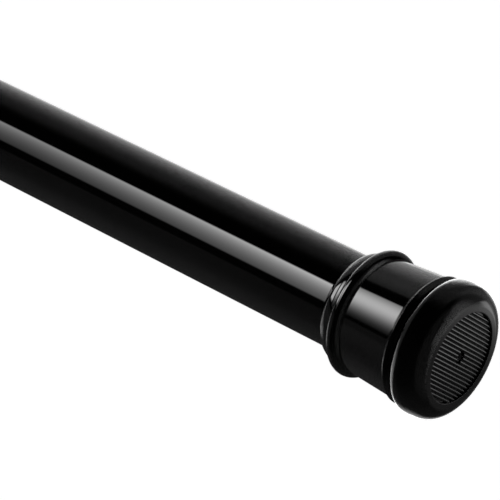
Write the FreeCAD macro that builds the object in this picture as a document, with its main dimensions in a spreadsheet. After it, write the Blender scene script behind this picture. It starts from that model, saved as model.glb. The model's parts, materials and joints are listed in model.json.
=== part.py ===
import FreeCAD, Part
import math
import os

import Sketcher

# A telescopic security bar that is pressed between two sides of a frame and locked by a twist.
# The frame: X runs along the bar, +X out of the outer foot, +Z up, and the origin is the centre
# of the outer foot's contact face. The bar lies towards -X. Lengths are in millimetres.

SIZES = [
    # (alias, value, meaning)
    ("rest_length", 700, "from foot face to foot face as drawn"),
    ("outer_od", 25.4, "outer tube, outside diameter"),
    ("inner_od", 22.2, "inner tube, outside diameter"),
    ("tube_wall", 0.8, "wall of both tubes"),
    ("outer_tube_length", 569.3, "outer tube"),
    ("inner_tube_length", 505.3, "inner tube"),
    ("tube_start", 10.5, "from a foot's face to its tube's end"),
    ("slip", 0.05, "gap round a part pushed into or over a tube"),
    ("running", 0.08, "radial gap of a running fit"),
    ("end_play", 0.3, "axial gap beside a part that turns"),
    ("disc_radius", 12.1, "ribbed disc in the foot's face"),
    ("disc_depth", 0.95, "depth of the disc's floor"),
    ("rib_pitch", 1.0, "from rib to rib"),
    ("rib_width", 0.6, "one rib"),
    ("rib_count", 23, "ribs on one foot"),
    ("rib_drop", 0.35, "rib tops below the face"),
    ("rib_angle", 42.5, "ribs below the horizontal, in degrees"),
    ("dimple_radius", 1.6, "dimple in the disc's centre"),
    ("dimple_depth", 1.2, "dimple below the disc's floor"),
    ("rim_inner", 13.65, "where the foot's face meets its round rim"),
    ("rim_depth", 4.2, "where the round rim meets the foot's side, from the face"),
    ("rim_radius", 17.88, "foot where the round rim meets its side"),
    ("rim_round", 4.7, "rounding of the rim"),
    ("side_round", 10.8, "bulge of the foot's side"),
    ("foot_radius", 18.15, "foot at the start of its back round"),
    ("foot_back", 9.0, "from the face to the foot's back edge"),
    ("foot_edge_round", 2.4, "rounding of the foot's back edge"),
    ("seat_radius", 14.5, "raised seat on the foot's back"),
    ("stem_radius", 5.0, "foot's snap stem"),
    ("barb_radius", 5.7, "barb on the stem"),
    ("barb_start", 16.6, "barb's holding face, from the foot's face"),
    ("barb_land", 1.0, "straight part of the barb"),
    ("stem_end", 21.0, "stem's tip, from the foot's face"),
    ("stem_tip_radius", 3.6, "stem's tip"),
    ("collar_start", 9.3, "collar's front face, from the foot's face"),
    ("lip_edge", 16.5, "collar's radius at its front face"),
    ("lip_round", 4.0, "rounding of the front lip's forward side"),
    ("lip_front", 10.9, "front of the front lip's crest"),
    ("lip_radius", 17.15, "front of the front lip's crest"),
    ("lip_back", 11.1, "back of the front lip's crest"),
    ("lip_back_radius", 17.05, "back of the front lip's crest"),
    ("cove_end", 11.8, "where the front lip's cove meets the barrel"),
    ("cove_radius", 1.1, "cove behind the front lip"),
    ("barrel_front", 16.4, "barrel's radius at the front"),
    ("barrel_back", 15.46, "barrel's radius at the back"),
    ("barrel_end", 26.0, "barrel's back end, from the foot's face"),
    ("bead_front", 26.1, "front of the bead flange"),
    ("bead_back", 29.9, "back of the bead flange"),
    ("bead_root", 15.7, "radius at the bead's sides"),
    ("bead_round", 2.0, "bead flange's round"),
    ("tail_start", 30.1, "start of the collar's rear lip"),
    ("tail_end", 34.2, "end of the collar's rear lip"),
    ("tail_radius", 15.2, "rear lip's radius beside the bead"),
    ("tail_thickness", 0.6, "rear lip's edge above the tube"),
    ("web_hole", 7.0, "hole in the collar's front wall"),
    ("plug_length", 20, "plug in the tube's end"),
    ("plug_web", 6.0, "plug's end wall"),
    ("plug_wall", 1.8, "plug's skirt"),
    ("plug_slot", 2.0, "slots in the plug's skirt"),
    ("plug_slots", 4, "number of slots in the skirt"),
    ("bush_flange", 2.6, "thickness of the mouth bush's flange"),
    ("bush_proud", 0.9, "flange above the outer tube"),
    ("bush_round", 0.9, "rounding of the bush's flange"),
    ("bush_sleeve", 14, "bush inside the outer tube"),
    ("spindle_start", 96, "spindle's front face, from the outer foot's face"),
    ("cam_throw", 1.6, "eccentricity of the cam's journal"),
    ("cam_journal", 6.5, "radius of the cam's journal"),
    ("cam_length", 15, "length of the cam's journal"),
    ("cam_radius", 10.8, "outside of the cam ring"),
    ("cam_slot", 2.0, "split in the cam ring"),
    ("cam_grooves", 24, "grip grooves round the cam"),
    ("cam_groove_radius", 0.5, "one grip groove"),
    ("thrust_radius", 9.5, "thrust flange behind the cam"),
    ("thrust_length", 2, "thrust flange"),
    ("glide_journal", 7.0, "radius of the glide ring's journal"),
    ("glide_length", 6.2, "length of the glide ring's journal"),
    ("glide_slot", 3.0, "split in the glide ring"),
    ("flange_radius", 10.8, "spring flange"),
    ("flange_length", 3, "spring flange"),
    ("pilot_radius", 5.5, "pilot under the spring's first turns"),
    ("pilot_length", 4, "pilot under the spring's first turns"),
    ("hex_flats", 8.0, "spindle's hexagon, across flats"),
    ("tail_thread", 3.0, "radius of the threaded tail"),
    ("tail_length", 8.5, "threaded tail"),
    ("screw_hole", 2.0, "hole for the cam's screw"),
    ("screw_depth", 12, "depth of the screw's hole"),
    ("screw_head", 3.8, "radius of the screw's head"),
    ("screw_head_height", 2.6, "height of the screw's head"),
    ("recess_width", 1.0, "cross recess in the screw's head"),
    ("recess_length", 4.4, "cross recess in the screw's head"),
    ("washer", 1.2, "thickness of every washer"),
    ("cam_washer_radius", 8.5, "cam washer"),
    ("seat_washer_radius", 10.4, "spring seats"),
    ("stop_washer_radius", 7.0, "stop washer"),
    ("spring_space", 60, "from the spindle's flange to the guide"),
    ("spring_wire", 2.2, "spring wire's diameter"),
    ("spring_mean", 8.5, "radius of the spring's coil"),
    ("spring_turns", 12, "turns"),
    ("guide_flange", 2, "guide's flange on the inner tube's end"),
    ("guide_length", 20, "guide inside the inner tube"),
    ("pin_radius", 1.5, "guide's pins"),
    ("pin_length", 3.6, "guide's pins"),
    ("pin_station", 10, "pins, from the inner tube's end"),
    ("nut_flats", 10, "stop nut, across flats"),
    ("nut_height", 5, "stop nut"),
]

doc = FreeCAD.newDocument("DoorSecurityBar")
sheet = doc.addObject("Spreadsheet::Sheet", "Sizes")
PARTS = []


def fill_sheet():
    """Write each driving dimension with its alias and meaning."""
    for row, (alias, value, meaning) in enumerate(SIZES, start=1):
        sheet.set("A%d" % row, alias)
        sheet.set("B%d" % row, str(value))
        sheet.set("C%d" % row, meaning)
        sheet.setAlias("B%d" % row, alias)
    doc.recompute()


def sized(formula):
    """Put the sheet's name before each alias in a formula."""
    words = []
    for word in formula.replace("(", "( ").replace(")", " )").split():
        known = any(word == alias for alias, _, _ in SIZES)
        words.append("Sizes." + word if known else word)
    return " ".join(words)


def value(formula):
    """Work a formula out now."""
    result = sheet.evalExpression(sized(formula))
    return float(getattr(result, "Value", result))


def bind(thing, prop, formula):
    """Bind a property to a formula on the sheet."""
    thing.setExpression(prop, sized(formula))


# --- sketches ---------------------------------------------------------------------------------


def plane(body, role):
    """Find one of a body's own origin planes or axes."""
    return next(item for item in body.Origin.OriginFeatures if item.Role == role)


def new_sketch(body, name, role, offset=None, angle=None):
    """Attach a sketch to an origin plane, moved along the plane's normal and turned about it."""
    sketch = body.newObject("Sketcher::SketchObject", name)
    sketch.AttachmentSupport = [(plane(body, role), "")]
    sketch.MapMode = "FlatFace"
    if angle is not None:
        sketch.AttachmentOffset = FreeCAD.Placement(
            FreeCAD.Vector(0, 0, 0), FreeCAD.Rotation(FreeCAD.Vector(0, 0, 1), value(angle))
        )
        bind(sketch, "AttachmentOffset.Rotation.Angle", angle)
    if offset is not None:
        bind(sketch, "AttachmentOffset.Base.z", offset)
    return sketch


def pin_point(sketch, geometry, point, across, up):
    """Hold one point of a sketch at two formulas, or on an axis where a formula is 0."""
    for kind, formula, axis in (("DistanceX", across, -2), ("DistanceY", up, -1)):
        if formula == "0":
            sketch.addConstraint(Sketcher.Constraint("PointOnObject", geometry, point, axis))
            continue
        index = sketch.addConstraint(
            Sketcher.Constraint(kind, -1, 1, geometry, point, value(formula))
        )
        name = "%s_%d_%d" % (kind, geometry, point)
        sketch.renameConstraint(index, name)
        bind(sketch, "Constraints." + name, formula)


def arc_between(start, end, radius):
    """An arc from start to end: it turns left where the radius is positive, right where negative."""
    chord = end - start
    half = chord.Length / 2
    rise = math.sqrt(max(radius * radius - half * half, 0.0))
    left = FreeCAD.Vector(-chord.y, chord.x, 0).normalize()
    side = 1 if radius > 0 else -1
    centre = start + chord * 0.5 + left * rise * side
    first, last = (start, end) if radius > 0 else (end, start)
    angles = [math.atan2(p.y - centre.y, p.x - centre.x) for p in (first, last)]
    if angles[1] < angles[0]:
        angles[1] += 2 * math.pi
    circle = Part.Circle(centre, FreeCAD.Vector(0, 0, 1), abs(radius))
    return Part.ArcOfCircle(circle, angles[0], angles[1])


def outline(sketch, corners):
    """Close an outline through corners (across, up) or (across, up, radius).

    Each entry is a formula. A radius bends the edge that leaves its corner: positive to the
    left, negative to the right.
    """
    points = [FreeCAD.Vector(value(c[0]), value(c[1]), 0) for c in corners]
    ends = []
    for index, corner in enumerate(corners):
        start = points[index]
        end = points[(index + 1) % len(points)]
        if len(corner) == 2:
            number = sketch.addGeometry(Part.LineSegment(start, end), False)
            ends.append((number, 1, 2))
            continue
        turns_left = not corner[2].startswith("-")
        radius = value(corner[2].lstrip("-"))
        arc = arc_between(start, end, radius if turns_left else -radius)
        number = sketch.addGeometry(arc, False)
        ends.append((number, 1, 2) if turns_left else (number, 2, 1))
    for index, (number, start_point, _) in enumerate(ends):
        before, _, end_point = ends[index - 1]
        sketch.addConstraint(
            Sketcher.Constraint("Coincident", before, end_point, number, start_point)
        )
        pin_point(sketch, number, start_point, corners[index][0], corners[index][1])
        if len(corners[index]) == 3:
            radius = corners[index][2].lstrip("-")
            added = sketch.addConstraint(Sketcher.Constraint("Radius", number, value(radius)))
            name = "Radius_%d" % number
            sketch.renameConstraint(added, name)
            bind(sketch, "Constraints." + name, radius)


def round_outline(sketch, across, up, radius):
    """A circle with its centre and radius held by formulas."""
    centre = FreeCAD.Vector(value(across), value(up), 0)
    normal = FreeCAD.Vector(0, 0, 1)
    number = sketch.addGeometry(Part.Circle(centre, normal, value(radius)), False)
    pin_point(sketch, number, 3, across, up)
    added = sketch.addConstraint(Sketcher.Constraint("Radius", number, value(radius)))
    name = "Radius_%d" % number
    sketch.renameConstraint(added, name)
    bind(sketch, "Constraints." + name, radius)


def box_outline(sketch, low_across, low_up, high_across, high_up):
    """A rectangle between two corners."""
    outline(
        sketch,
        [
            (low_across, low_up),
            (high_across, low_up),
            (high_across, high_up),
            (low_across, high_up),
        ],
    )


def hexagon(sketch, flats):
    """A regular hexagon about the centre, with two corners on the vertical axis."""
    side = flats + " / 2"
    low = flats + " / 2 * tan( 30 )"
    high = flats + " / 2 / cos( 30 )"
    outline(
        sketch,
        [
            (side, "0 - " + low),
            (side, low),
            ("0", high),
            ("0 - " + side, low),
            ("0 - " + side, "0 - " + low),
            ("0", "0 - " + high),
        ],
    )


# --- features ---------------------------------------------------------------------------------


def new_body(label, base, inward=True):
    """A body whose local X runs along the bar.

    inward: local X runs from the outer foot towards the inner foot. Otherwise it runs from the
    inner foot towards the outer one. base is the body's X in the bar's frame.
    """
    body = doc.addObject("PartDesign::Body", label)
    body.Label = label
    angle = 180 if inward else 0
    body.Placement = FreeCAD.Placement(
        FreeCAD.Vector(0, 0, 0), FreeCAD.Rotation(FreeCAD.Vector(0, 0, 1), angle)
    )
    bind(body, "Placement.Base.x", base)
    PARTS.append(body)
    return body


def turned(body, name, corners, cut=False):
    """Turn an outline (along, radius) about the bar's axis, to add or to cut."""
    sketch = new_sketch(body, name + "Outline", "XY_Plane")
    outline(sketch, corners)
    kind = "PartDesign::Groove" if cut else "PartDesign::Revolution"
    feature = body.newObject(kind, name)
    feature.Profile = sketch
    feature.ReferenceAxis = (sketch, ["H_Axis"])
    feature.Angle = 360
    doc.recompute()
    return feature


def extruded(body, name, sketch, length=None):
    """Pad a cross-section along the bar, or cut it right through where no length is given."""
    volume = body.Shape.Volume if body.Tip else 0.0
    kind = "PartDesign::Pad" if length else "PartDesign::Pocket"
    feature = body.newObject(kind, name)
    feature.Profile = sketch
    if length:
        bind(feature, "Length", length)
    else:
        feature.Type = "ThroughAll"
        feature.Midplane = True
    doc.recompute()
    grown = body.Shape.Volume > volume
    if grown != bool(length):
        raise RuntimeError("%s of %s changed nothing" % (name, body.Label))
    return feature


def repeated(body, name, feature, count):
    """Repeat a feature evenly round the bar's axis."""
    pattern = body.newObject("PartDesign::PolarPattern", name)
    pattern.Originals = [feature]
    pattern.Axis = (plane(body, "X_Axis"), [""])
    pattern.Angle = 360
    bind(pattern, "Occurrences", count)
    body.Tip = pattern
    doc.recompute()
    return pattern


def crown_radius(run, drop):
    """Radius of an arc that starts level and falls by drop over run."""
    return "( ( %s ) ^ 2 + ( %s ) ^ 2 ) / ( 2 * ( %s ) )" % (run, drop, drop)


def ring_corners(start, length, hole, radius):
    """The outline of a plain ring."""
    end = start + " + " + length if start != "0" else length
    return [(start, hole), (end, hole), (end, radius), (start, radius)]


def washer(label, station, hole, radius):
    """A plain steel washer, with its front face at a distance from the outer foot's face."""
    body = new_body(label, "0 - ( " + station + " )")
    turned(body, "Ring", ring_corners("0", "washer", hole, radius))


# --- stations along the bar, from the outer foot's face -------------------------------------------

OUTER_RADIUS = "outer_od / 2"
OUTER_BORE = "( outer_od / 2 - tube_wall )"
INNER_RADIUS = "inner_od / 2"
INNER_BORE = "( inner_od / 2 - tube_wall )"
MOUTH = "( tube_start + outer_tube_length )"
INNER_MOUTH = "( rest_length - tube_start - inner_tube_length )"
THRUST = "cam_length"
GLIDE = "( cam_length + thrust_length )"
FLANGE = "( cam_length + thrust_length + glide_length )"
SPRING_FACE = "( cam_length + thrust_length + glide_length + flange_length )"
GUIDE = "( " + SPRING_FACE + " + spring_space )"
SPINDLE_TAIL = "( " + GUIDE + " + guide_flange + guide_length + end_play )"


# --- the tubes ----------------------------------------------------------------------------------


def make_outer_tube():
    """The larger tube, from inside the outer collar to the mouth bush."""
    body = new_body("outer_tube", "0 - tube_start")
    bore = OUTER_BORE
    turned(body, "Tube", ring_corners("0", "outer_tube_length", bore, OUTER_RADIUS))


def make_inner_tube():
    """The smaller tube, drilled near its mouth for the guide's pins."""
    body = new_body("inner_tube", "0 - rest_length + tube_start", inward=False)
    turned(body, "Tube", ring_corners("0", "inner_tube_length", INNER_BORE, INNER_RADIUS))
    holes = new_sketch(body, "PinHoles", "XZ_Plane")
    round_outline(holes, "inner_tube_length - pin_station", "0", "pin_radius + slip / 2")
    extruded(body, "Drill", holes)


def make_mouth_bush():
    """The ferrule in the outer tube's mouth: a rounded flange and a sleeve round the inner tube."""
    body = new_body("mouth_bush", "0 - " + MOUTH)
    bore = INNER_RADIUS + " + running"
    sleeve = OUTER_BORE + " - slip"
    crest = OUTER_RADIUS + " + bush_proud"
    corners = [
        ("0 - bush_sleeve", bore),
        ("bush_flange", bore),
        ("bush_flange", crest + " - bush_round", "bush_round"),
        ("bush_flange - bush_round", crest),
        ("0", crest),
        ("0", sleeve),
        ("0 - bush_sleeve", sleeve),
    ]
    turned(body, "Bush", corners)


# --- one end: collar, plug and foot ---------------------------------------------------------------


def make_collar(label, base, inward, tube_radius):
    """The glossy collar over a tube's end."""
    body = new_body(label, base, inward)
    bore = tube_radius + " + slip"
    edge = tube_radius + " + tail_thickness"
    tail_round = crown_radius("tail_end - tail_start", "tail_radius - ( " + edge + " )")
    corners = [
        ("collar_start", "web_hole"),
        ("tube_start", "web_hole"),
        ("tube_start", bore),
        ("tail_end", bore),
        ("tail_end", edge, tail_round),
        ("tail_start", "tail_radius"),
        ("bead_back", "bead_root", "bead_round"),
        ("bead_front", "bead_root"),
        ("barrel_end", "barrel_back"),
        ("cove_end", "barrel_front", "-cove_radius"),
        ("lip_back", "lip_back_radius"),
        ("lip_front", "lip_radius", "lip_round"),
        ("collar_start", "lip_edge"),
    ]
    turned(body, "Collar", corners)


def make_plug(label, base, inward, bore):
    """The nylon plug in a tube's end: an end wall for the foot's stem and a slotted skirt."""
    body = new_body(label, base, inward)
    outside = bore + " - slip"
    corners = [
        ("tube_start", "stem_radius + slip"),
        ("tube_start + plug_web", "stem_radius + slip"),
        ("tube_start + plug_web", outside + " - plug_wall"),
        ("tube_start + plug_length", outside + " - plug_wall"),
        ("tube_start + plug_length", outside),
        ("tube_start", outside),
    ]
    turned(body, "Plug", corners)
    slot = new_sketch(body, "SlotOutline", "XY_Plane")
    box_outline(
        slot,
        "tube_start + plug_length / 2",
        "0 - plug_slot / 2",
        "tube_start + plug_length + slip",
        "plug_slot / 2",
    )
    cut = extruded(body, "Slot", slot)
    repeated(body, "Slots", cut, "plug_slots / 2")


def make_foot(label, base, inward, lean):
    """The soft foot: a ribbed disc in a domed face, and a stem that snaps into the plug."""
    body = new_body(label, base, inward)
    core = [
        ("disc_depth", "0"),
        ("stem_end", "0"),
        ("stem_end", "stem_tip_radius"),
        ("barb_start + barb_land", "barb_radius"),
        ("barb_start", "barb_radius"),
        ("barb_start", "stem_radius"),
        ("collar_start", "stem_radius"),
        ("collar_start", "disc_radius"),
        ("disc_depth", "disc_radius"),
    ]
    turned(body, "Core", core)
    rib = new_sketch(body, "RibOutline", "YZ_Plane", "rib_drop", lean)
    row = "( rib_count - 1 ) * rib_pitch / 2"
    box_outline(
        rib,
        "0 - disc_radius",
        "0 - " + row + " - rib_width / 2",
        "disc_radius",
        "0 - " + row + " + rib_width / 2",
    )
    first = extruded(body, "Rib", rib, "disc_depth")
    ribs = body.newObject("PartDesign::LinearPattern", "Ribs")
    ribs.Originals = [first]
    ribs.Direction = (rib, ["V_Axis"])
    bind(ribs, "Length", "( rib_count - 1 ) * rib_pitch")
    bind(ribs, "Occurrences", "rib_count")
    body.Tip = ribs
    doc.recompute()
    beyond = "disc_radius * 2"
    trim = [
        ("0 - rib_pitch", "disc_radius"),
        ("collar_start + rib_pitch", "disc_radius"),
        ("collar_start + rib_pitch", beyond),
        ("0 - rib_pitch", beyond),
    ]
    turned(body, "RibTrim", trim, cut=True)
    rim = [
        ("0", "disc_radius"),
        ("collar_start", "disc_radius"),
        ("collar_start", "seat_radius"),
        ("foot_back", "seat_radius"),
        ("foot_back", "foot_radius - foot_edge_round", "foot_edge_round"),
        ("foot_back - foot_edge_round", "foot_radius", "side_round"),
        ("rim_depth", "rim_radius", "rim_round"),
        ("0", "rim_inner"),
    ]
    turned(body, "Rim", rim)
    dimple = [
        ("0", "0"),
        ("disc_depth + dimple_depth", "0"),
        ("disc_depth", "dimple_radius"),
        ("0", "dimple_radius"),
    ]
    turned(body, "Dimple", dimple, cut=True)


def make_ends():
    """Both ends of the bar, from the same moulds but for the tubes they fit."""
    inner_base = "0 - rest_length"
    make_collar("outer_collar", "0", True, OUTER_RADIUS)
    make_plug("outer_plug", "0", True, OUTER_BORE)
    make_foot("outer_foot", "0", True, "rib_angle")
    make_collar("inner_collar", inner_base, False, INNER_RADIUS)
    make_plug("inner_plug", inner_base, False, INNER_BORE)
    make_foot("inner_foot", inner_base, False, "rib_angle")


# --- the twist lock -------------------------------------------------------------------------------


def make_lock_spindle():
    """The spindle: cam journal, thrust flange, glide journal, spring flange, hexagon and tail."""
    body = new_body("lock_spindle", "0 - spindle_start")
    journal = new_sketch(body, "CamJournalOutline", "YZ_Plane")
    round_outline(journal, "0", "cam_throw", "cam_journal")
    extruded(body, "CamJournal", journal, "cam_length")
    hexagon_outline = new_sketch(body, "HexagonOutline", "YZ_Plane", SPRING_FACE)
    hexagon(hexagon_outline, "hex_flats")
    extruded(body, "Hexagon", hexagon_outline, SPINDLE_TAIL + " - " + SPRING_FACE)
    shaft = [
        (THRUST, "0"),
        (SPINDLE_TAIL + " + tail_length", "0"),
        (SPINDLE_TAIL + " + tail_length", "tail_thread"),
        (SPRING_FACE + " + pilot_length", "tail_thread"),
        (SPRING_FACE + " + pilot_length", "pilot_radius"),
        (SPRING_FACE, "pilot_radius"),
        (SPRING_FACE, "flange_radius"),
        (FLANGE, "flange_radius"),
        (FLANGE, "glide_journal"),
        (GLIDE, "glide_journal"),
        (GLIDE, "thrust_radius"),
        (THRUST, "thrust_radius"),
    ]
    turned(body, "Shaft", shaft)
    turned(body, "ScrewHole", ring_corners("0", "screw_depth", "0", "screw_hole"), cut=True)


def make_lock_cam():
    """The split cam ring: round outside and bored off its centre, with grip grooves."""
    body = new_body("lock_cam", "0 - spindle_start - end_play")
    ring = new_sketch(body, "RingOutline", "YZ_Plane")
    round_outline(ring, "0", "0", "cam_radius")
    round_outline(ring, "0", "cam_throw", "cam_journal + running")
    extruded(body, "Ring", ring, "cam_length - 2 * end_play")
    groove = new_sketch(body, "GrooveOutline", "YZ_Plane")
    round_outline(groove, "0", "cam_radius + cam_groove_radius / 2", "cam_groove_radius")
    cut = extruded(body, "Groove", groove)
    repeated(body, "Grooves", cut, "cam_grooves")
    slot = new_sketch(body, "SlotOutline", "YZ_Plane")
    box_outline(
        slot,
        "0 - cam_slot / 2",
        "0 - cam_radius - cam_slot",
        "cam_slot / 2",
        "0 - cam_journal / 2",
    )
    extruded(body, "Slot", slot)


def make_cam_screw():
    """The pan-head screw with a cross recess that holds the cam's washer."""
    body = new_body("cam_screw", "0 - ( spindle_start - washer )")
    corners = [
        ("0 - screw_head_height", "0"),
        ("screw_depth", "0"),
        ("screw_depth", "screw_hole - slip"),
        ("0", "screw_hole - slip"),
        ("0", "screw_head"),
        ("0 - screw_head_height / 2", "screw_head", "screw_head"),
        ("0 - screw_head_height", "screw_head / 2"),
    ]
    turned(body, "Screw", corners)
    cross = new_sketch(body, "CrossOutline", "YZ_Plane", "0 - screw_head_height - washer")
    short = "recess_width / 2"
    long = "recess_length / 2"
    outline(
        cross,
        [
            ("0 - " + long, "0 - " + short),
            ("0 - " + short, "0 - " + short),
            ("0 - " + short, "0 - " + long),
            (short, "0 - " + long),
            (short, "0 - " + short),
            (long, "0 - " + short),
            (long, short),
            (short, short),
            (short, long),
            ("0 - " + short, long),
            ("0 - " + short, short),
            ("0 - " + long, short),
        ],
    )
    recess = body.newObject("PartDesign::Pocket", "CrossRecess")
    recess.Profile = cross
    recess.Reversed = True
    bind(recess, "Length", "washer + screw_head_height / 2")
    doc.recompute()


def make_glide_ring():
    """The split ring that centres the spindle in the outer tube."""
    start = "0 - spindle_start - " + GLIDE + " - end_play"
    body = new_body("glide_ring", start)
    outside = OUTER_BORE + " - running"
    bore = "glide_journal + running"
    turned(body, "Ring", ring_corners("0", "glide_length - 2 * end_play", bore, outside))
    slot = new_sketch(body, "SlotOutline", "YZ_Plane")
    box_outline(
        slot, "0 - glide_slot / 2", "0 - outer_od", "glide_slot / 2", "0 - glide_journal / 2"
    )
    extruded(body, "Slot", slot)


def make_spindle_guide():
    """The guide in the inner tube's mouth, with a hexagon hole for the spindle."""
    body = new_body("spindle_guide", "0 - " + INNER_MOUTH)
    outside = INNER_BORE + " - slip"
    corners = [
        ("0 - guide_flange", "0"),
        ("guide_length", "0"),
        ("guide_length", outside),
        ("0", outside),
        ("0", INNER_RADIUS + " - slip"),
        ("0 - guide_flange", INNER_RADIUS + " - slip"),
    ]
    turned(body, "Guide", corners)
    hole = new_sketch(body, "HoleOutline", "YZ_Plane")
    hexagon(hole, "( hex_flats + 2 * running )")
    extruded(body, "Hole", hole)
    pins = new_sketch(body, "PinHoles", "XZ_Plane")
    round_outline(pins, "pin_station", "0", "pin_radius + slip / 2")
    extruded(body, "Drill", pins)


def make_guide_pins():
    """Two pins, one each side, flush with the inner tube."""
    pins = []
    for name, turn in (("PinLeft", -90), ("PinRight", 90)):
        pin = doc.addObject("Part::Cylinder", name)
        bind(pin, "Radius", "pin_radius")
        bind(pin, "Height", "pin_length")
        side = 1 if turn < 0 else -1
        pin.Placement = FreeCAD.Placement(
            FreeCAD.Vector(0, 0, 0), FreeCAD.Rotation(FreeCAD.Vector(1, 0, 0), turn)
        )
        reach = INNER_RADIUS + " - slip - pin_length"
        bind(pin, "Placement.Base.y", "( " + reach + " ) * " + str(side))
        pins.append(pin)
    group = doc.addObject("Part::Compound", "guide_pins")
    group.Label = "guide_pins"
    group.Links = pins
    bind(group, "Placement.Base.x", "0 - " + INNER_MOUTH + " - pin_station")
    PARTS.append(group)


def make_press_spring():
    """The compression spring round the spindle, between its two seats."""
    coil_height = "( spring_space - 2 * washer - end_play - spring_wire )"
    coil = doc.addObject("Part::Helix", "SpringCoil")
    bind(coil, "Height", coil_height)
    bind(coil, "Pitch", coil_height + " / spring_turns")
    bind(coil, "Radius", "spring_mean")
    section = doc.addObject("Part::Circle", "SpringSection")
    bind(section, "Radius", "spring_wire / 2")
    section.Placement = FreeCAD.Placement(
        FreeCAD.Vector(0, 0, 0), FreeCAD.Rotation(FreeCAD.Vector(1, 0, 0), 90)
    )
    bind(section, "Placement.Base.x", "spring_mean")
    spring = doc.addObject("Part::Sweep", "press_spring")
    spring.Label = "press_spring"
    spring.Sections = [section]
    spring.Spine = (coil, ["Edge1"])
    spring.Solid = True
    spring.Frenet = True
    spring.Placement = FreeCAD.Placement(
        FreeCAD.Vector(0, 0, 0), FreeCAD.Rotation(FreeCAD.Vector(0, 1, 0), -90)
    )
    start = "0 - spindle_start - " + SPRING_FACE + " - washer - spring_wire / 2"
    bind(spring, "Placement.Base.x", start)
    PARTS.append(spring)


def make_stop_nut():
    """The nut on the spindle's tail."""
    block = doc.addObject("Part::Prism", "NutBlock")
    block.Polygon = 6
    bind(block, "Circumradius", "nut_flats / 2 / cos( 30 )")
    bind(block, "Height", "nut_height")
    hole = doc.addObject("Part::Cylinder", "NutHole")
    bind(hole, "Radius", "tail_thread + slip")
    bind(hole, "Height", "nut_height")
    nut = doc.addObject("Part::Cut", "stop_nut")
    nut.Label = "stop_nut"
    nut.Base = block
    nut.Tool = hole
    nut.Placement = FreeCAD.Placement(
        FreeCAD.Vector(0, 0, 0), FreeCAD.Rotation(FreeCAD.Vector(0, 1, 0), -90)
    )
    bind(nut, "Placement.Base.x", "0 - spindle_start - " + SPINDLE_TAIL + " - washer")
    PARTS.append(nut)


def make_washers():
    """The cam's washer, the spring's two seats and the washer at the spindle's tail."""
    washer("cam_washer", "spindle_start - washer", "screw_hole", "cam_washer_radius")
    front = "spindle_start + " + SPRING_FACE
    rear = "spindle_start + " + GUIDE + " - washer"
    tail = "spindle_start + " + SPINDLE_TAIL
    washer("front_spring_seat", front, "pilot_radius + slip", "seat_washer_radius")
    washer("rear_spring_seat", rear, "pilot_radius", "seat_washer_radius")
    washer("stop_washer", tail, "tail_thread + slip", "stop_washer_radius")


# --- building and writing -------------------------------------------------------------------------


def check_model():
    """Stop if any object failed or any piece has no sound solid."""
    for item in doc.Objects:
        if "Invalid" in item.State or "Error" in item.State:
            raise RuntimeError("%s failed: %s" % (item.Name, item.State))
    for part in PARTS:
        shape = part.Shape
        if shape.isNull() or not shape.isValid() or not shape.Solids:
            raise RuntimeError("%s has no valid solid" % part.Label)


def write_parts():
    """Write one STEP file for each piece."""
    os.makedirs("parts", exist_ok=True)
    for part in PARTS:
        part.Shape.exportStep("parts/%s.step" % part.Label)
        box = part.Shape.BoundBox
        row = (part.Label, len(part.Shape.Solids), part.Shape.Volume, box.XMin, box.XMax)
        print("%-18s %d solid(s) %10.1f mm3  x %8.1f to %8.1f" % row)


fill_sheet()
make_outer_tube()
make_mouth_bush()
make_inner_tube()
make_ends()
make_lock_spindle()
make_lock_cam()
make_cam_screw()
make_glide_ring()
make_spindle_guide()
make_guide_pins()
make_press_spring()
make_stop_nut()
make_washers()
doc.recompute()
check_model()
write_parts()
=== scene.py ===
import json
import math

import bmesh
import bpy
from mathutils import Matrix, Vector


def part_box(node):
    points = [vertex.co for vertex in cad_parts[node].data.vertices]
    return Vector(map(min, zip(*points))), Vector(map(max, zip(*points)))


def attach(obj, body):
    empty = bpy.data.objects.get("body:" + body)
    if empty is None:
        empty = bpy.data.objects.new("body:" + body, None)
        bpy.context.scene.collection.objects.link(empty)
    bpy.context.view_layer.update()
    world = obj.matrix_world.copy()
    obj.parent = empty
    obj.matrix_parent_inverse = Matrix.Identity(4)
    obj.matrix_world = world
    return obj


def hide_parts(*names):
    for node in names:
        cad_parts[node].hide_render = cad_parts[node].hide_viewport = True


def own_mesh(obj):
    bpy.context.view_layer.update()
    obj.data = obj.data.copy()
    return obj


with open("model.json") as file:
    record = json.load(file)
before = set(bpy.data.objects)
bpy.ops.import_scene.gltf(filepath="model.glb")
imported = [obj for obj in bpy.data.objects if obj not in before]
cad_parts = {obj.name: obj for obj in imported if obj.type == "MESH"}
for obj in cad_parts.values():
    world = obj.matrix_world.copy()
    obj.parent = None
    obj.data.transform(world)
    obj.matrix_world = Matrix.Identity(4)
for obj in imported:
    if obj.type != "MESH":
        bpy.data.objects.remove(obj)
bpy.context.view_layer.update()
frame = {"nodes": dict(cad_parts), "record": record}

# A telescopic security bar. The bar's sizes are millimetres, which MM turns into metres, and the studio
# around it is in metres. An end's outline is written as (along, radius): along runs from the foot's face
# into the bar. A bend is the radius of an arc.

MM = 0.001
OUTER_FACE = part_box("outer_foot")[1].x
INNER_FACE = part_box("inner_foot")[0].x
OUTER_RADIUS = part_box("outer_tube")[1].z / MM
INNER_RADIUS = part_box("inner_tube")[1].z / MM
WALL = 0.8

# Meshes
SEGMENTS = 256
ARC_STEPS = 10
CORNER_STEPS = 3
CORNER_SHARE = 0.4
ON_AXIS = 1e-6
SHARP_ANGLE = 40
MOULDED_EDGE = 0.12
BROKEN_EDGE = 0.15

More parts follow.
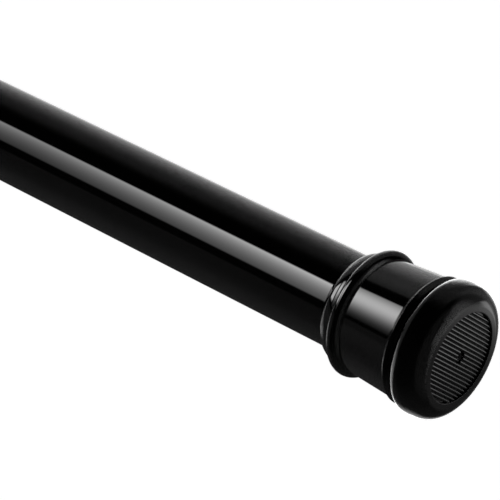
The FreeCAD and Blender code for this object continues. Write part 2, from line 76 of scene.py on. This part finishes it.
# The foot's face: a sunk disc with ribs and a dimple
DISC_RADIUS = 12.1
DISC_DEPTH = 0.95
DIMPLE_RADIUS = 1.6
DIMPLE_DEPTH = 1.2
DIMPLE_LAP = 0.1
RIB_PITCH = 1.0
RIB_WIDTH = 0.94
RIB_CROWN = 0.3
RIB_COUNT = 23
RIB_DROP = 0.35
RIB_LEAN = 42.5
RIB_ROOT = 0.05
RIB_OVERRUN = 0.02
CREST_STEPS = 8

# The foot's rim, back and snap stem
RIM_INNER = 13.65
RIM_DEPTH = 4.2
RIM_FALL = 0.27
RIM_BEND = 4.7
SIDE_BEND = 10.8
FOOT_RADIUS = 18.15
FOOT_BACK = 9.0
FOOT_EDGE = 2.4
SEAT_RADIUS = 14.5
STEM_RADIUS = 5.0
STEM_TIP = 3.6
STEM_END = 21.0
BARB_RADIUS = 5.7
BARB_START = 16.6
BARB_END = 17.6

# The collar: front wall, front lip, cove, barrel, bead and rear lip
COLLAR_START = 9.3
COLLAR_HOLE = 7.0
COLLAR_WALL_END = 10.5
TUBE_GAP = 0.05
LIP_EDGE = 16.5
LIP_BEND = 4.0
LIP_FRONT = 10.9
LIP_RADIUS = 17.15
LIP_BACK = 11.1
LIP_BACK_RADIUS = 17.05
COVE_END = 11.8
COVE_BEND = 1.1
BARREL_FRONT = 16.4
BARREL_BACK = 15.46
BARREL_END = 26.0
BEAD_START = 26.1
BEAD_END = 29.9
BEAD_ROOT = 15.7
BEAD_BEND = 2.0
REAR_LIP_START = 30.1
REAR_LIP_END = 34.2
REAR_LIP_RADIUS = 15.2
REAR_LIP_EDGE = 0.6

# The mouth bush
FLANGE = 2.6
FLANGE_RISE = 0.9
SLEEVE = 14.0
SLEEVE_GAP = 0.05
SLIDE_GAP = 0.08

# The press spring
WIRE_RADIUS = 1.1
COIL_RADIUS = 8.5
COIL_TURNS = 12
STEPS_PER_TURN = 48
WIRE_SIDES = 16


# --- outlines --------------------------------------------------------------------------------------


def arc(start, end, bend):
    """Points after start up to end on an arc: it turns left where bend is positive."""
    start, end = Vector(start), Vector(end)
    chord = end - start
    half = chord.length / 2
    rise = math.sqrt(max(bend * bend - half * half, 0.0))
    left = Vector((-chord.y, chord.x)).normalized()
    centre = (start + end) / 2 + left * rise * (1 if bend > 0 else -1)
    first = math.atan2(start.y - centre.y, start.x - centre.x)
    last = math.atan2(end.y - centre.y, end.x - centre.x)
    if bend > 0 and last < first:
        last += 2 * math.pi
    if bend < 0 and last > first:
        last -= 2 * math.pi
    points = []
    for step in range(1, ARC_STEPS + 1):
        angle = first + (last - first) * step / ARC_STEPS
        points.append((centre.x + abs(bend) * math.cos(angle), centre.y + abs(bend) * math.sin(angle)))
    return points


def crown_bend(run, drop):
    """The bend of an arc that starts level and falls by drop over run."""
    return (run * run + drop * drop) / (2 * drop)


def path(corners):
    """Turn corners (along, radius[, bend of the edge to the next corner]) into points."""
    points = []
    for index, corner in enumerate(corners):
        following = corners[(index + 1) % len(corners)]
        points.append(corner[:2])
        if len(corner) == 3:
            points.extend(arc(corner[:2], following[:2], corner[2])[:-1])
    return points


def softened(points, radius, sharp=25.0):
    """Round each corner that turns by more than sharp degrees, as a mould or a file leaves it."""
    result = []
    for index, point in enumerate(points):
        here = Vector(point)
        before = Vector(points[index - 1]) - here
        after = Vector(points[(index + 1) % len(points)]) - here
        turn = math.degrees(math.pi - before.angle(after))
        reach = min(radius, before.length * CORNER_SHARE, after.length * CORNER_SHARE)
        if turn < sharp or here.y < ON_AXIS:
            result.append(tuple(here))
            continue
        start = here + before.normalized() * reach
        end = here + after.normalized() * reach
        for step in range(CORNER_STEPS + 1):
            share = step / CORNER_STEPS
            curve = start * (1 - share) ** 2 + here * 2 * share * (1 - share) + end * share * share
            result.append(tuple(curve))
    return result


def supported(points, gap=0.25):
    """Add a point near both ends of each long run, so that smooth shading stays flat along it."""
    result = []
    for index, point in enumerate(points):
        here = Vector(point)
        there = Vector(points[(index + 1) % len(points)])
        result.append(tuple(here))
        run = there - here
        if run.length > gap * 4:
            result.append(tuple(here + run.normalized() * gap))
            result.append(tuple(there - run.normalized() * gap))
    return result


def foot_outline():
    """The foot: a snap stem, a seat, a round rim, and a sunk disc with a dimple."""
    corners = [
        (STEM_END, 0.0),
        (STEM_END, STEM_TIP),
        (BARB_END, BARB_RADIUS),
        (BARB_START, BARB_RADIUS),
        (BARB_START, STEM_RADIUS),
        (COLLAR_START, STEM_RADIUS),
        (COLLAR_START, SEAT_RADIUS),
        (FOOT_BACK, SEAT_RADIUS),
        (FOOT_BACK, FOOT_RADIUS - FOOT_EDGE, FOOT_EDGE),
        (FOOT_BACK - FOOT_EDGE, FOOT_RADIUS, SIDE_BEND),
        (RIM_DEPTH, FOOT_RADIUS - RIM_FALL, RIM_BEND),
        (0.0, RIM_INNER),
        (0.0, DISC_RADIUS),
        (DISC_DEPTH, DISC_RADIUS),
        (DISC_DEPTH, DIMPLE_RADIUS),
        (DISC_DEPTH + DIMPLE_DEPTH, 0.0),
    ]
    return supported(softened(path(corners), MOULDED_EDGE))


def collar_outline(tube):
    """The collar on a tube: thin rear lip, bead flange, flared barrel, cove and front lip."""
    bore = tube + TUBE_GAP
    rear_edge = tube + REAR_LIP_EDGE
    rear_bend = crown_bend(REAR_LIP_END - REAR_LIP_START, REAR_LIP_RADIUS - rear_edge)
    corners = [
        (COLLAR_START, COLLAR_HOLE),
        (COLLAR_WALL_END, COLLAR_HOLE),
        (COLLAR_WALL_END, bore),
        (REAR_LIP_END, bore),
        (REAR_LIP_END, rear_edge, rear_bend),
        (REAR_LIP_START, REAR_LIP_RADIUS),
        (BEAD_END, BEAD_ROOT, BEAD_BEND),
        (BEAD_START, BEAD_ROOT),
        (BARREL_END, BARREL_BACK),
        (COVE_END, BARREL_FRONT, -COVE_BEND),
        (LIP_BACK, LIP_BACK_RADIUS),
        (LIP_FRONT, LIP_RADIUS, LIP_BEND),
        (COLLAR_START, LIP_EDGE),
    ]
    return supported(softened(path(corners), BROKEN_EDGE, sharp=20.0))


def tube_outline(length, radius):
    """A tube with slightly broken edges."""
    corners = [(0, radius - WALL), (length, radius - WALL), (length, radius), (0, radius)]
    return supported(softened(corners, BROKEN_EDGE))


def bush_outline():
    """The ferrule: a sleeve in the outer tube and a rounded flange against the tube's end."""
    bore = INNER_RADIUS + SLIDE_GAP
    sleeve = OUTER_RADIUS - WALL - SLEEVE_GAP
    crest = OUTER_RADIUS + FLANGE_RISE
    corners = [
        (0, bore),
        (FLANGE + SLEEVE, bore),
        (FLANGE + SLEEVE, sleeve),
        (FLANGE, sleeve),
        (FLANGE, crest),
        (FLANGE_RISE, crest, FLANGE_RISE),
        (0, crest - FLANGE_RISE),
    ]
    return supported(softened(path(corners), MOULDED_EDGE))


# --- meshes ----------------------------------------------------------------------------------------


def turn_mesh(mesh, outline, face, inward):
    """Turn a closed outline about the bar's axis into a bmesh."""
    rings = []
    for along, radius in outline:
        x = face + inward * along * MM
        if radius < ON_AXIS:
            rings.append([mesh.verts.new((x, 0, 0))])
            continue
        ring = []
        for step in range(SEGMENTS):
            angle = 2 * math.pi * step / SEGMENTS
            ring.append(mesh.verts.new((x, radius * MM * math.cos(angle), radius * MM * math.sin(angle))))
        rings.append(ring)
    for index, ring in enumerate(rings):
        following = rings[(index + 1) % len(rings)]
        for step in range(SEGMENTS):
            after = (step + 1) % SEGMENTS
            corners = [ring[step % len(ring)], ring[after % len(ring)]]
            corners += [following[after % len(following)], following[step % len(following)]]
            corners = list(dict.fromkeys(corners))
            if len(corners) > 2:
                mesh.faces.new(corners)


def join_loops(mesh, loop, following):
    """A strip of faces between two loops of as many points."""
    for index in range(len(loop)):
        after = (index + 1) % len(loop)
        mesh.faces.new([loop[index], loop[after], following[after], following[index]])


def cap_ends(mesh, first, last):
    """A face over each end of a run of loops."""
    mesh.faces.new(first)
    mesh.faces.new(list(reversed(last)))


def finish_mesh(mesh, name, body, node, material):
    """Make a bmesh into a smooth piece that rides on a body and stands for a CAD node."""
    bmesh.ops.recalc_face_normals(mesh, faces=mesh.faces)
    data = bpy.data.meshes.new(name)
    mesh.to_mesh(data)
    mesh.free()
    data.shade_smooth()
    data.set_sharp_from_angle(angle=math.radians(SHARP_ANGLE))
    data.materials.append(material)
    piece = bpy.data.objects.new(name, data)
    bpy.context.scene.collection.objects.link(piece)
    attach(piece, body)
    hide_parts(node)
    return piece


def turned_piece(name, outline, face, inward, body, node, material):
    """A piece turned from one outline."""
    mesh = bmesh.new()
    turn_mesh(mesh, outline, face, inward)
    return finish_mesh(mesh, name, body, node, material)


def rib_section():
    """A rib's cross-section (across, along): a round crest on sides that run into the disc's floor."""
    half = RIB_WIDTH / 2
    root = DISC_DEPTH + RIB_ROOT
    shares = [1 - 2 * step / CREST_STEPS for step in range(CREST_STEPS + 1)]
    crest = [(half * share, RIB_DROP + RIB_CROWN * share * share) for share in shares]
    return [(half, root)] + crest + [(-half, root)]


def add_rib(mesh, across, start, end, face, inward):
    """One straight rib of the disc, from start to end along its length."""
    lean = math.radians(RIB_LEAN)
    side = Vector((0, math.sin(lean), math.cos(lean)))
    length = Vector((0, math.cos(lean), -math.sin(lean)))
    loops = []
    for station in (start, end):
        loop = []
        for offset, along in rib_section():
            point = side * (across + offset) * MM + length * station * MM
            loop.append(mesh.verts.new((face + inward * along * MM, point.y, point.z)))
        loops.append(loop)
    join_loops(mesh, *loops)
    cap_ends(mesh, *loops)


def make_foot(name, face, inward, body, material):
    """A foot with its ribs, which stop at the dimple's edge."""
    mesh = bmesh.new()
    turn_mesh(mesh, foot_outline(), face, inward)
    first = -(RIB_COUNT - 1) / 2 * RIB_PITCH
    for index in range(RIB_COUNT):
        across = first + index * RIB_PITCH
        reach = math.sqrt(DISC_RADIUS**2 - across**2) + RIB_OVERRUN
        if abs(across) < DIMPLE_RADIUS:
            gap = math.sqrt(DIMPLE_RADIUS**2 - across**2) - DIMPLE_LAP
            add_rib(mesh, across, -reach, -gap, face, inward)
            add_rib(mesh, across, gap, reach, face, inward)
        else:
            add_rib(mesh, across, -reach, reach, face, inward)
    return finish_mesh(mesh, name + "_moulded", body, name, material)


def make_collar(name, face, inward, body, tube, material):
    """A collar over the end of a tube."""
    outline = collar_outline(tube)
    return turned_piece(name + "_moulded", outline, face, inward, body, name, material)


def make_tube(name, body, radius, material):
    """A tube between its CAD node's ends."""
    low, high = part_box(name)
    outline = tube_outline((high.x - low.x) / MM, radius)
    return turned_piece(name + "_enamelled", outline, low.x, 1, body, name, material)


def make_bush(material):
    """The ferrule in the outer tube's mouth."""
    low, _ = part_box("mouth_bush")
    name = "mouth_bush_moulded"
    return turned_piece(name, bush_outline(), low.x, 1, "outer_bar", "mouth_bush", material)


def make_spring(material):
    """The press spring: an evenly wound round wire on the spindle's body, with a mesh of its own."""
    low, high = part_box("press_spring")
    start = low.x / MM + WIRE_RADIUS
    travel = (high.x - low.x) / MM - 2 * WIRE_RADIUS
    steps = COIL_TURNS * STEPS_PER_TURN
    mesh = bmesh.new()
    rings = []
    for step in range(steps + 1):
        share = step / steps
        angle = 2 * math.pi * COIL_TURNS * share
        centre = Vector((start + travel * share, 0, 0))
        out = Vector((0, math.cos(angle), math.sin(angle)))
        ring = []
        for side in range(WIRE_SIDES):
            around = 2 * math.pi * side / WIRE_SIDES
            point = centre + out * (COIL_RADIUS + WIRE_RADIUS * math.cos(around))
            point.x += WIRE_RADIUS * math.sin(around)
            ring.append(mesh.verts.new(point * MM))
        rings.append(ring)
    for ring, following in zip(rings, rings[1:]):
        join_loops(mesh, ring, following)
    cap_ends(mesh, rings[0], rings[-1])
    piece = finish_mesh(mesh, "press_spring_wound", "spindle", "press_spring", material)
    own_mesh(piece)


# --- nodes -----------------------------------------------------------------------------------------


def add_node(tree, kind, inputs=None, **settings):
    """A new node with its settings; each input is linked to a socket or given a value."""
    node = tree.nodes.new(kind)
    for name, value in settings.items():
        setattr(node, name, value)
    for name, value in (inputs or {}).items():
        if isinstance(value, bpy.types.NodeSocket):
            tree.links.new(value, node.inputs[name])
        else:
            node.inputs[name].default_value = value
    return node


def maths(tree, operation, *inputs):
    """A maths node; inputs are numbers or sockets."""
    return add_node(tree, "ShaderNodeMath", dict(enumerate(inputs)), operation=operation).outputs[0]


def noise(tree, scale, detail):
    """A noise texture in the object's own coordinates, in features per metre."""
    place = add_node(tree, "ShaderNodeTexCoord").outputs["Object"]
    texture = add_node(tree, "ShaderNodeTexNoise", {"Scale": scale, "Detail": detail, "Vector": place})
    return texture.outputs["Fac"]


def ramp(tree, source, stops):
    """Map a value through two colour stops (position, colour)."""
    node = add_node(tree, "ShaderNodeValToRGB", {"Fac": source})
    for element, (position, colour) in zip(node.color_ramp.elements, stops):
        element.position = position
        element.color = (*colour, 1)
    return node.outputs["Color"]


def scaled(tree, source, low, high):
    """Spread the middle of a noise, where nearly all of it lies, over low to high."""
    spread = {"From Min": 0.3, "From Max": 0.7, "To Min": low, "To Max": high, "Value": source}
    return add_node(tree, "ShaderNodeMapRange", spread).outputs["Result"]


def window(tree, value, low, high, soft_low, soft_high):
    """1 between low and high, falling to 0 over soft_low and soft_high outside them."""
    sides = []
    for outside, inside in ((low - soft_low, low), (high + soft_high, high)):
        limits = {"From Min": outside, "From Max": inside, "Value": value}
        side = add_node(tree, "ShaderNodeMapRange", limits, interpolation_type="SMOOTHSTEP")
        sides.append(side.outputs["Result"])
    return maths(tree, "MULTIPLY", *sides)


# --- materials -------------------------------------------------------------------------------------

BLACK = (0.0011, 0.0011, 0.0012)
BLACK_LIGHT = (0.0018, 0.0018, 0.0019)
# Each row: name, darkest and lightest colour, least and most roughness, grains per metre, depth of the
# grain in metres, index of refraction, and 1 for a metal.
MATERIALS = [
    ("tube_enamel", BLACK, BLACK_LIGHT, (0.03, 0.06), 700, 4e-7, 1.5, 0),
    ("collar_plastic", BLACK, BLACK_LIGHT, (0.03, 0.06), 500, 4e-7, 1.7, 0),
    ("foot_rubber", BLACK, (0.002, 0.002, 0.0021), (0.1, 0.14), 2500, 1e-6, 1.5, 0),
    ("bush_plastic", BLACK, BLACK_LIGHT, (0.28, 0.36), 2500, 2e-6, 1.5, 0),
    ("nylon_natural", (0.70, 0.66, 0.55), (0.78, 0.75, 0.66), (0.35, 0.5), 1500, 4e-6, 1.5, 0),
    ("acetal_white", (0.78, 0.78, 0.76), (0.86, 0.86, 0.84), (0.3, 0.45), 1500, 3e-6, 1.5, 0),
    ("cam_nylon", (0.50, 0.48, 0.40), (0.62, 0.60, 0.52), (0.35, 0.5), 1500, 4e-6, 1.5, 0),
    ("spindle_nylon", (0.10, 0.105, 0.11), (0.17, 0.18, 0.19), (0.4, 0.55), 1800, 5e-6, 1.5, 0),
    ("zinc_steel", (0.50, 0.52, 0.55), (0.68, 0.69, 0.71), (0.22, 0.4), 900, 2e-6, 1.5, 1),
    ("spring_steel", (0.30, 0.30, 0.31), (0.45, 0.45, 0.46), (0.25, 0.4), 900, 2e-6, 1.5, 1),
]
# Features per grain: the colour drifts slowly and the roughness a little faster.
DRIFT_SHARE = 0.08
UNEVEN_SHARE = 0.2


def node_material(name):
    """A new material, with its node tree and its shader."""
    material = bpy.data.materials.new(name)
    material.use_nodes = True
    shader = material.node_tree.nodes["Principled BSDF"]
    return material, material.node_tree, shader


def grained(name, dark, light, rough, grain, depth, ior, metallic):
    """A material with a colour that drifts a little, uneven roughness and a fine grain."""
    material, tree, shader = node_material(name)
    shader.inputs["IOR"].default_value = ior
    shader.inputs["Metallic"].default_value = metallic
    tint = ramp(tree, noise(tree, grain * DRIFT_SHARE, 4.0), [(0.35, dark), (0.65, light)])
    tree.links.new(tint, shader.inputs["Base Color"])
    uneven = noise(tree, grain * UNEVEN_SHARE, 2.0)
    tree.links.new(scaled(tree, uneven, *rough), shader.inputs["Roughness"])
    relief = {"Strength": 1.0, "Distance": depth, "Height": noise(tree, grain, 2.0)}
    tree.links.new(add_node(tree, "ShaderNodeBump", relief).outputs["Normal"], shader.inputs["Normal"])
    return material


def dress_cad_nodes(materials):
    """Give every CAD node the procedural material of its slot."""
    for row in frame["record"]["subparts"]:
        data = frame["nodes"][row["node"]].data
        data.materials.clear()
        data.materials.append(materials[row["material_slot"]])


# --- stage, light and camera -----------------------------------------------------------------------

FLOOR_REACH = 30.0
FLOOR_DROP = 0.6
FLOOR_GLOW = 0.95

# Lights of the studio: strength, then around the bar (degrees from +Y towards +Z: from, to, softness
# at each end), then along the bar (share of the direction along +X: from, to, softness at each end).
ALL_ROUND = (-400, 400, 1, 1)
ALL_ALONG = (-2, 2, 1, 1)
ROOM_LIGHTS = [
    ("base", 0.005, *ALL_ROUND, *ALL_ALONG),
    ("back wall", 0.72, -12, 4, 20, 55, -1.0, -0.50, 0.1, 0.25),
    ("back wall glow", 0.17, -20, 58, 20, 32, -1.0, 0.2, 0.1, 0.25),
    ("far wall", 0.6, -110, 10, 30, 30, -1.2, -0.84, 0.1, 0.1),
    ("table behind", 0.9, -40, -20, 4, 12, -1.0, -0.3, 0.1, 0.4),
    ("table", 0.035, -110, -45, 40, 5, -1.0, 0.4, 0.1, 0.4),
    ("low bounce", 0.035, -178, -100, 6, 40, -1.0, -0.45, 0.1, 0.1),
    ("end wall", 0.55, -22, 22, 50, 45, 0.78, 1.0, 0.22, 0.1),
    ("end wall halo", 0.09, *ALL_ROUND, 0.80, 1.1, 0.25, 0.1),
]
# Lights on the drums, which only the tubes, only the collars or only the feet catch.
TUBE_LIGHTS = [
    ("side softbox", 1.2, 112, 150, 4, 10, -0.4, 1.1, 0.04, 0.05),
    ("low bounce", 0.03, -178, -130, 6, 40, -1.0, -0.45, 0.1, 0.1),
]
COLLAR_LIGHTS = [
    ("upper wall", 0.10, 66, 80, 25, 4, -1.0, -0.45, 0.1, 0.1),
    ("low bounce", 0.05, -182, -180, 1, 60, -1.0, -0.45, 0.1, 0.1),
    ("low bounce end", 0.05, 170, 190, 4, 1, -1.0, -0.45, 0.1, 0.1),
    ("far softbox", 4.5, 108, 146, 6, 12, -0.97, -0.84, 0.01, 0.03),
]
FOOT_LIGHTS = [
    ("top edge", 2.4, -60, 0, 15, 30, -1.0, -0.5, 0.1, 0.25),
    ("top sheen", 0.12, -30, 30, 30, 30, 0.2, 0.75, 0.35, 0.2),
    ("under edge", 0.6, -75, -45, 20, 5, -0.85, -0.2, 0.1, 0.2),
    ("low edge", 1.0, -150, -90, 40, 20, -1.0, -0.7, 0.05, 0.1),
    ("back ring", 0.22, *ALL_ROUND, -1.0, -0.7, 0.05, 0.05),
]
# Lights so close to the outer foot that the top of its face catches more of them than the bottom.
FACE_LIGHTS = [
    ("front fill", 0.4, -25, -17, 20, 20, 0.35, 0.7, 0.25, 0.2),
    ("rib glint", 1.1, -20, -6, 14, 6, 0.34, 0.44, 0.08, 0.06),
]

# Radii of the drums in metres, their half length in radii, and their sides.
TUBE_DRUM = 3.0
COLLAR_DRUM = 3.3
FOOT_DRUM = 3.6
FACE_DRUM = 0.06
DRUM_REACH = 8
DRUM_SIDES = 72

# Angles in degrees, the place in metres, the sensor and the lens in millimetres.
CAMERA_AZIMUTH = 41.97
CAMERA_ELEVATION = 33.37
CAMERA_PLACE = (0.28566, -0.39460, 0.35061)
SENSOR_WIDTH = 36.0
LENS_LENGTH = 176.832


def make_floor():
    """A wide white floor, which reflections don't show."""
    low, high = -FLOOR_REACH, FLOOR_REACH
    corners = [(x, y, -FLOOR_DROP) for x, y in ((low, low), (high, low), (high, high), (low, high))]
    data = bpy.data.meshes.new("floor")
    data.from_pydata(corners, [], [(0, 1, 2, 3)])
    material, tree, shader = node_material("floor_paper")
    shader.inputs["Roughness"].default_value = 1.0
    shader.inputs["Specular IOR Level"].default_value = 0.0
    tint = ramp(tree, noise(tree, 3.0, 3.0), [(0.3, (0.90, 0.90, 0.90)), (0.7, (0.92, 0.92, 0.92))])
    tree.links.new(tint, shader.inputs["Base Color"])
    shader.inputs["Emission Color"].default_value = (1, 1, 1, 1)
    shader.inputs["Emission Strength"].default_value = FLOOR_GLOW
    data.materials.append(material)
    floor = bpy.data.objects.new("floor", data)
    bpy.context.scene.collection.objects.link(floor)
    floor.visible_glossy = False


def direction_parts(tree, space):
    """The parts X, Y and Z of a texture coordinate."""
    place = add_node(tree, "ShaderNodeTexCoord").outputs[space]
    return add_node(tree, "ShaderNodeSeparateXYZ", {"Vector": place}).outputs


def degrees_around(tree, parts):
    """The angle around the bar of a vector's parts, from +Y towards +Z."""
    angle = maths(tree, "ARCTAN2", parts["Z"], parts["Y"])
    return maths(tree, "MULTIPLY", angle, 180 / math.pi)


def sum_of_lights(tree, around, along, lights):
    """The sum of a table's lights, seen in a direction around and along the bar."""
    total = 0.0
    for _, strength, *edges in lights:
        glow = maths(tree, "MULTIPLY", window(tree, around, *edges[:4]), window(tree, along, *edges[4:]))
        total = maths(tree, "MULTIPLY_ADD", glow, strength, total)
    return total


def make_world():
    """A white room for the camera, and for reflections a dark studio with soft lights."""
    world = bpy.data.worlds.new("studio")
    bpy.context.scene.world = world
    world.use_nodes = True
    tree = world.node_tree
    tree.nodes.clear()
    parts = direction_parts(tree, "Generated")
    total = sum_of_lights(tree, degrees_around(tree, parts), parts["X"], ROOM_LIGHTS)
    seen = add_node(tree, "ShaderNodeBackground", {"Color": (1, 1, 1, 1), "Strength": 1.0})
    mirrored = add_node(tree, "ShaderNodeBackground", {"Strength": total})
    rays = add_node(tree, "ShaderNodeLightPath").outputs["Is Camera Ray"]
    mix = add_node(tree, "ShaderNodeMixShader", {"Fac": rays, 1: mirrored.outputs[0], 2: seen.outputs[0]})
    add_node(tree, "ShaderNodeOutputWorld", {"Surface": mix.outputs[0]})


def tube_strip(tree, around, along):
    """A softbox with a crisp upper edge, which fades downwards and towards the far end."""
    top, fading = 120, 0.048
    slope, level, least = 51.0, 37.9, 4.4
    across = window(tree, around, 121, 158.5, 4.5, 5)
    length = window(tree, along, -0.97, -0.525, 0.05, 0.012)
    depth = maths(tree, "SUBTRACT", around, top)
    fade = maths(tree, "EXPONENT", maths(tree, "MULTIPLY", depth, -fading))
    strength = maths(tree, "MAXIMUM", maths(tree, "MULTIPLY_ADD", along, slope, level), least)
    strip = maths(tree, "MULTIPLY", maths(tree, "MULTIPLY", across, length), fade)
    return maths(tree, "MULTIPLY", strip, strength)


def collar_strip(tree, around, along):
    """A taller softbox, brightest near its top."""
    brightest, spread, strength = 121, 13.5, 5.8
    across = window(tree, around, 104, 158, 3, 6)
    length = window(tree, along, -0.74, -0.525, 0.03, 0.012)
    depth = maths(tree, "DIVIDE", maths(tree, "SUBTRACT", around, brightest), spread)
    hump = maths(tree, "EXPONENT", maths(tree, "MULTIPLY", maths(tree, "MULTIPLY", depth, depth), -0.5))
    strip = maths(tree, "MULTIPLY", maths(tree, "MULTIPLY", across, length), hump)
    return maths(tree, "MULTIPLY", strip, strength)


def drum_mesh(name, radius):
    """An open drum around the bar."""
    points = []
    for x in (-radius * DRUM_REACH, radius * DRUM_REACH):
        for side in range(DRUM_SIDES):
            angle = 2 * math.pi * side / DRUM_SIDES
            points.append((x, radius * math.cos(angle), radius * math.sin(angle)))
    faces = []
    for side in range(DRUM_SIDES):
        after = (side + 1) % DRUM_SIDES
        faces.append((side, after, after + DRUM_SIDES, side + DRUM_SIDES))
    data = bpy.data.meshes.new(name)
    data.from_pydata(points, [], faces)
    return data


def drum_cloth(name, radius, lights, strip):
    """A clear material that glows where its table and its strip say."""
    material = bpy.data.materials.new(name + "_cloth")
    material.use_nodes = True
    tree = material.node_tree
    tree.nodes.clear()
    parts = direction_parts(tree, "Object")
    around = degrees_around(tree, parts)
    along = maths(tree, "SINE", maths(tree, "ARCTAN2", parts["X"], radius))
    total = sum_of_lights(tree, around, along, lights)
    if strip:
        total = maths(tree, "ADD", total, strip(tree, around, along))
    glow = add_node(tree, "ShaderNodeEmission", {"Strength": total}).outputs[0]
    clear = add_node(tree, "ShaderNodeBsdfTransparent").outputs[0]
    both = add_node(tree, "ShaderNodeAddShader", {0: glow, 1: clear}).outputs[0]
    add_node(tree, "ShaderNodeOutputMaterial", {"Surface": both})
    return material


def make_drum(name, radius, receivers, lights, strip=None):
    """A clear, glowing drum around the bar, which only the receivers catch."""
    data = drum_mesh(name, radius)
    data.materials.append(drum_cloth(name, radius, lights, strip))
    drum = bpy.data.objects.new(name, data)
    bpy.context.scene.collection.objects.link(drum)
    drum.visible_camera = False
    drum.visible_shadow = False
    drum.visible_diffuse = False
    group = bpy.data.collections.new(name + "_lights")
    for piece in receivers:
        group.objects.link(piece)
    drum.light_linking.receiver_collection = group


def make_camera():
    """The camera looks down at the outer foot from its front left."""
    azimuth = math.radians(CAMERA_AZIMUTH)
    elevation = math.radians(CAMERA_ELEVATION)
    level = math.cos(elevation)
    back = Vector((math.sin(azimuth) * level, -math.cos(azimuth) * level, math.sin(elevation)))
    data = bpy.data.cameras.new("camera")
    data.sensor_width = SENSOR_WIDTH
    data.lens = LENS_LENGTH
    data.clip_end = 100
    camera = bpy.data.objects.new("camera", data)
    camera.location = CAMERA_PLACE
    camera.rotation_mode = "QUATERNION"
    camera.rotation_quaternion = (-back).to_track_quat("-Z", "Y")
    bpy.context.scene.collection.objects.link(camera)
    bpy.context.scene.camera = camera


# --- the bar and its studio ------------------------------------------------------------------------

materials = {row[0]: grained(*row) for row in MATERIALS}
dress_cad_nodes(materials)
tubes = [
    make_tube("outer_tube", "outer_bar", OUTER_RADIUS, materials["tube_enamel"]),
    make_tube("inner_tube", "inner_bar", INNER_RADIUS, materials["tube_enamel"]),
    make_bush(materials["bush_plastic"]),
]
collars = [
    make_collar("outer_collar", OUTER_FACE, -1, "outer_bar", OUTER_RADIUS, materials["collar_plastic"]),
    make_collar("inner_collar", INNER_FACE, 1, "inner_bar", INNER_RADIUS, materials["collar_plastic"]),
]
feet = [
    make_foot("outer_foot", OUTER_FACE, -1, "outer_bar", materials["foot_rubber"]),
    make_foot("inner_foot", INNER_FACE, 1, "inner_bar", materials["foot_rubber"]),
]
make_spring(materials["spring_steel"])
make_floor()
make_world()
make_drum("tube_lights", TUBE_DRUM, tubes, TUBE_LIGHTS, tube_strip)
make_drum("collar_lights", COLLAR_DRUM, collars, COLLAR_LIGHTS, collar_strip)
make_drum("foot_lights", FOOT_DRUM, feet, FOOT_LIGHTS)
make_drum("face_lights", FACE_DRUM, feet, FACE_LIGHTS)
make_camera()
bpy.context.scene.view_settings.view_transform = "Standard"
bpy.context.scene.view_settings.look = "None"
